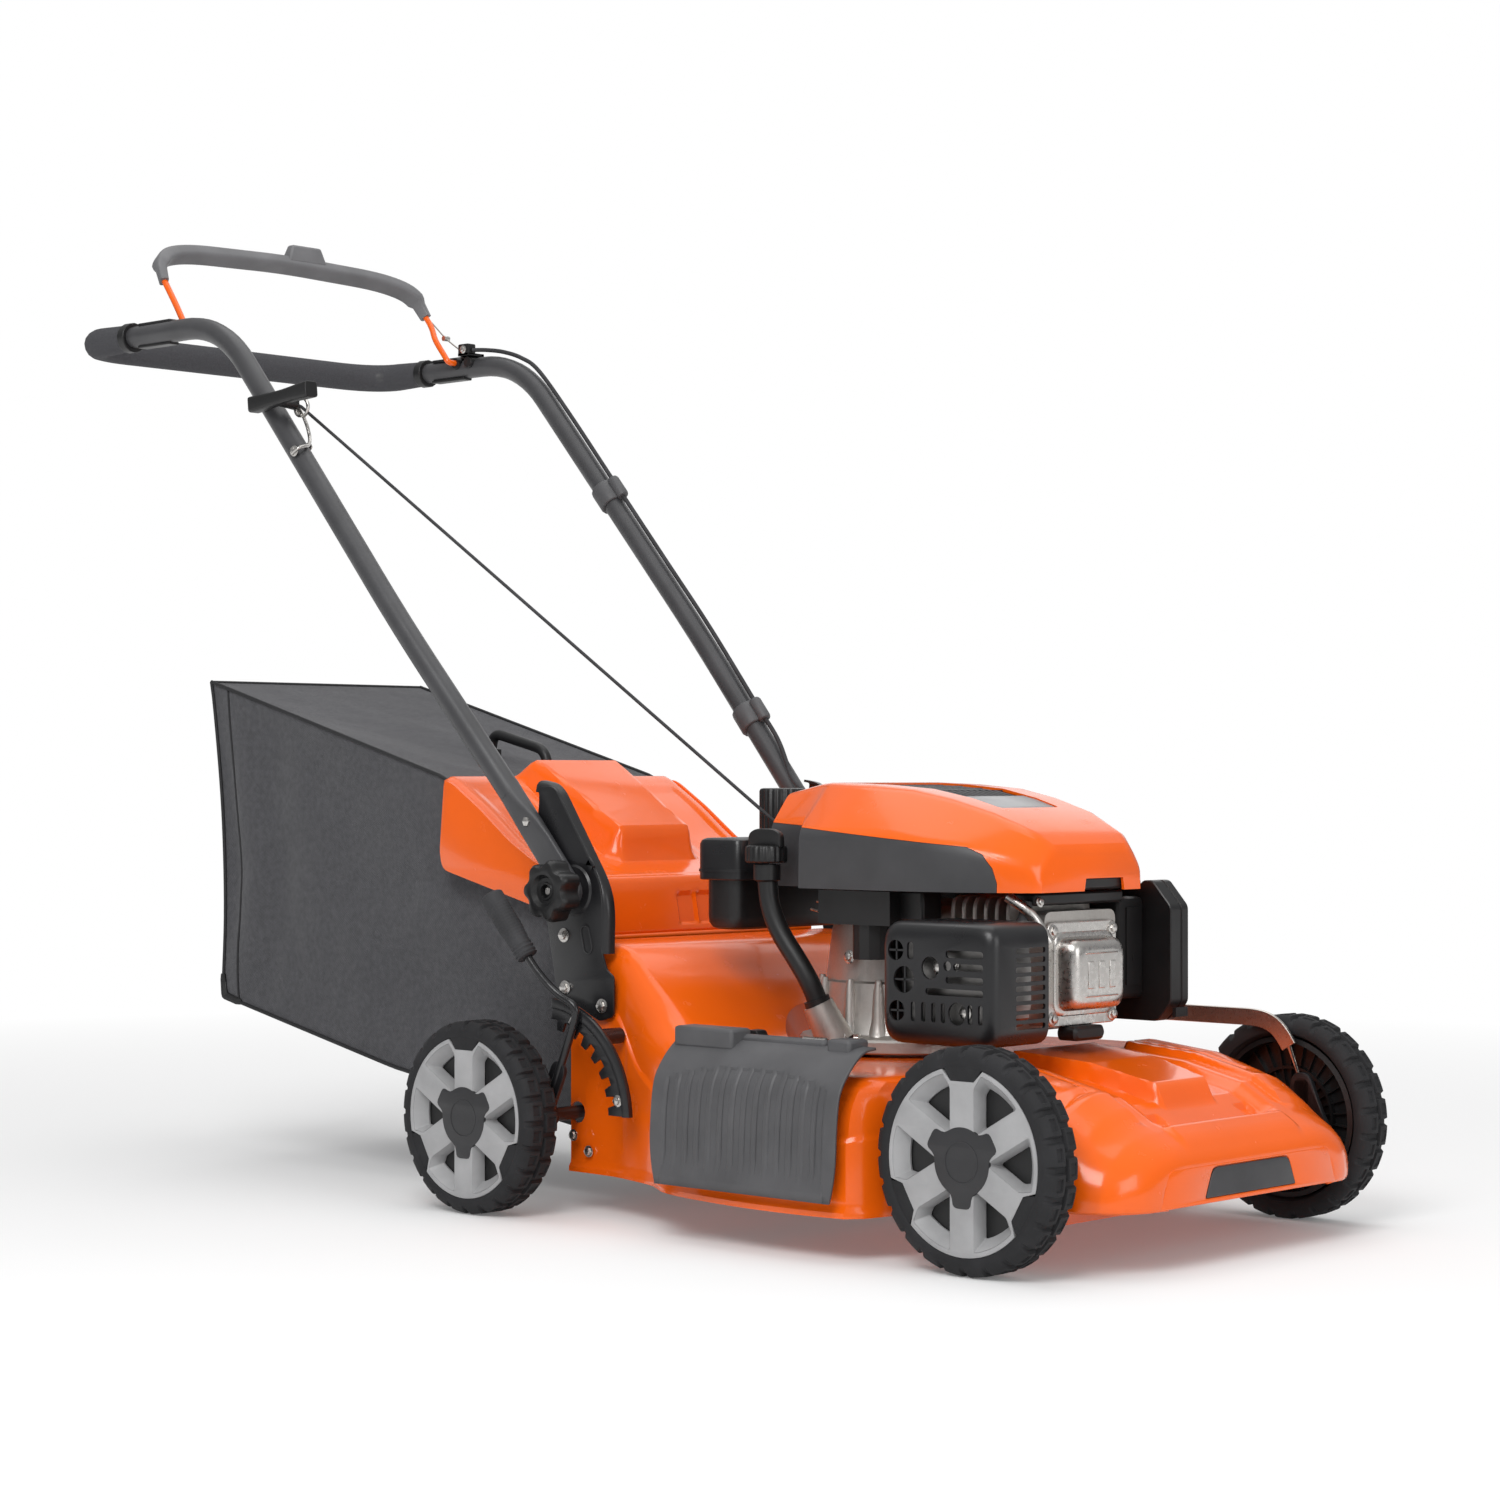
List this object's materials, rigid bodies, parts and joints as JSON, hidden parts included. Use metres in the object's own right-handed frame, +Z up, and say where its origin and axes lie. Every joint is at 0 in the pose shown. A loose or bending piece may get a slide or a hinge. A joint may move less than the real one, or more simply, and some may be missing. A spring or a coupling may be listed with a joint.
{
  "type": "push lawn mower",
  "caption": "Walk-behind petrol lawn mower with folding U handle, rear grass bag, side-discharge cover and linked wheel-height adjustment.",
  "frame": {"origin": "on the ground, below the middle of the whole mower's bounding box", "axes": "+Y towards the rear (handle), -X the mower's right-hand side, +Z up"},
  "size_m": [0.602, 1.5122, 1.088],
  "materials": {
    "bag_fabric": "woven",
    "black_plastic": "satin",
    "black_rubber": "matt",
    "cast_aluminium": "matt",
    "grey_plastic": "satin",
    "grip_foam": "matt",
    "handle_paint": "satin",
    "orange_paint": "gloss",
    "orange_plastic": "gloss",
    "plated_steel": "satin",
    "silver_plastic": "satin",
    "tyre_rubber": "matt"
  },
  "bodies": {
    "chassis": {"deck": "orange_paint", "front_cover": "orange_plastic", "front_insert": "grey_plastic", "handle_bracket_right": "black_plastic", "handle_bracket_left": "black_plastic", "height_quadrant": "black_plastic", "engine_block": "cast_aluminium", "valve_cover": "plated_steel", "muffler_guard": "black_plastic", "muffler": "plated_steel", "engine_hood": "orange_plastic", "engine_side_band": "grey_plastic", "air_filter_cover": "black_plastic", "air_filter_base": "black_plastic", "carburettor": "black_plastic", "fuel_tank": "black_plastic", "oil_filler_tube": "black_plastic", "spark_plug_boot": "black_plastic", "brake_cable_lower": "black_rubber", "starter_rope": "black_rubber"},
    "crank": {"crankshaft": "plated_steel", "flywheel": "cast_aluminium", "cutting_blade": "plated_steel", "blade_bolt": "plated_steel"},
    "rear_crank_axle": {"rear_axle": "plated_steel", "height_lever": "black_plastic", "height_lever_grip": "black_rubber"},
    "front_crank_axle": {"front_axle": "plated_steel"},
    "link": {"height_link": "plated_steel"},
    "handle": {"handle_tube": "handle_paint", "foam_grip": "grip_foam", "cable_clip_upper": "grey_plastic", "cable_clip_lower": "grey_plastic", "brake_cable_upper": "black_rubber", "cable_anchor": "black_plastic", "bail_cable": "plated_steel", "rope_guide": "plated_steel"},
    "knob_right": {"clamp_knob_right": "black_plastic"},
    "knob_left": {"clamp_knob_left": "black_plastic"},
    "starter_grip": {"pull_grip": "black_plastic"},
    "bail": {"bail_wire": "orange_paint", "bail_cover": "grey_plastic"},
    "flap": {"rear_flap": "orange_plastic"},
    "bag": {"grass_bag": "bag_fabric", "bag_handle": "black_plastic"},
    "chute_cover": {"side_chute_cover": "grey_plastic"},
    "oil_cap": {"oil_filler_cap": "black_plastic"},
    "petrol_cap": {"fuel_cap": "black_plastic"},
    "wheel_front_right": {"front_right_tyre": "tyre_rubber", "front_right_rim": "silver_plastic", "front_right_hub_cap": "grey_plastic"},
    "wheel_front_left": {"front_left_tyre": "tyre_rubber", "front_left_rim": "silver_plastic", "front_left_hub_cap": "grey_plastic"},
    "wheel_rear_right": {"rear_right_tyre": "tyre_rubber", "rear_right_rim": "silver_plastic", "rear_right_hub_cap": "grey_plastic"},
    "wheel_rear_left": {"rear_left_tyre": "tyre_rubber", "rear_left_rim": "silver_plastic", "rear_left_hub_cap": "grey_plastic"}
  },
  "joints": [
    {"name": "height_adjust", "type": "hinge", "parent": "chassis", "child": "rear_crank_axle", "pos_m": [0, -0.0795, 0.1], "axis": [1, 0, 0], "range_deg": [-16, 20]},
    {"name": "front_axle_turn", "type": "hinge", "parent": "chassis", "child": "front_crank_axle", "pos_m": [0, -0.6965, 0.084], "axis": [1, 0, 0], "range_deg": [-16, 20]},
    {"name": "link_pivot", "type": "hinge", "parent": "rear_crank_axle", "child": "link", "pos_m": [0.224, -0.0525, 0.151], "axis": [1, 0, 0], "range_deg": [-20, 16]},
    {"name": "handle_fold", "type": "hinge", "parent": "chassis", "child": "handle", "pos_m": [0, -0.0815, 0.325], "axis": [1, 0, 0], "range_deg": [0, 120], "deforming": ["starter_rope", "brake_cable_lower"]},
    {"name": "knob_right_turn", "type": "hinge", "parent": "handle", "child": "knob_right", "pos_m": [-0.24, -0.0815, 0.325], "axis": [1, 0, 0], "continuous": true},
    {"name": "knob_left_turn", "type": "hinge", "parent": "handle", "child": "knob_left", "pos_m": [0.24, -0.0815, 0.325], "axis": [1, 0, 0], "continuous": true},
    {"name": "bail_close", "type": "hinge", "parent": "handle", "child": "bail", "pos_m": [0, 0.5725, 0.956], "axis": [1, 0, 0], "range_deg": [-45, 0], "stiffness_Nm_per_rad": 1, "springref_deg": 28.65, "deforming": ["bail_cable"]},
    {"name": "starter_pull", "type": "slide", "parent": "handle", "child": "starter_grip", "axis": [-0.2414, 0.7442, 0.6228], "range_m": [0, 0.4], "stiffness_N_per_m": 20, "springref_m": -0.2},
    {"name": "flap_open", "type": "hinge", "parent": "chassis", "child": "flap", "pos_m": [0, -0.0545, 0.276], "axis": [1, 0, 0], "range_deg": [0, 45]},
    {"name": "bag_remove", "type": "slide", "parent": "chassis", "child": "bag", "axis": [0, 0.9848, 0.1736], "range_m": [0, 0.3]},
    {"name": "side_cover_open", "type": "hinge", "parent": "chassis", "child": "chute_cover", "pos_m": [-0.24, -0.3845, 0.186], "axis": [0, 1, 0], "range_deg": [0, 75], "stiffness_Nm_per_rad": 0.4, "springref_deg": -34.38},
    {"name": "oil_cap_turn", "type": "hinge", "parent": "chassis", "child": "oil_cap", "pos_m": [-0.131, -0.2725, 0.365], "axis": [0, 0, 1], "continuous": true},
    {"name": "petrol_cap_turn", "type": "hinge", "parent": "chassis", "child": "petrol_cap", "pos_m": [-0.03, -0.2025, 0.4], "axis": [0, 0, 1], "continuous": true},
    {"name": "blade_spin", "type": "hinge", "parent": "chassis", "child": "crank", "pos_m": [0, -0.3345, 0.06], "axis": [0, 0, 1], "continuous": true},
    {"name": "front_right_spin", "type": "hinge", "parent": "front_crank_axle", "child": "wheel_front_right", "pos_m": [-0.251, -0.6345, 0.1015], "axis": [1, 0, 0], "continuous": true},
    {"name": "front_left_spin", "type": "hinge", "parent": "front_crank_axle", "child": "wheel_front_left", "pos_m": [0.251, -0.6345, 0.1015], "axis": [1, 0, 0], "continuous": true},
    {"name": "rear_right_spin", "type": "hinge", "parent": "rear_crank_axle", "child": "wheel_rear_right", "pos_m": [-0.2785, -0.0145, 0.097], "axis": [1, 0, 0], "continuous": true},
    {"name": "rear_left_spin", "type": "hinge", "parent": "rear_crank_axle", "child": "wheel_rear_left", "pos_m": [0.2785, -0.0145, 0.097], "axis": [1, 0, 0], "continuous": true}
  ],
  "couplings": [
    {"joint": "front_axle_turn", "follows": "height_adjust", "ratio": 1},
    {"joint": "link_pivot", "follows": "height_adjust", "ratio": -1}
  ]
}
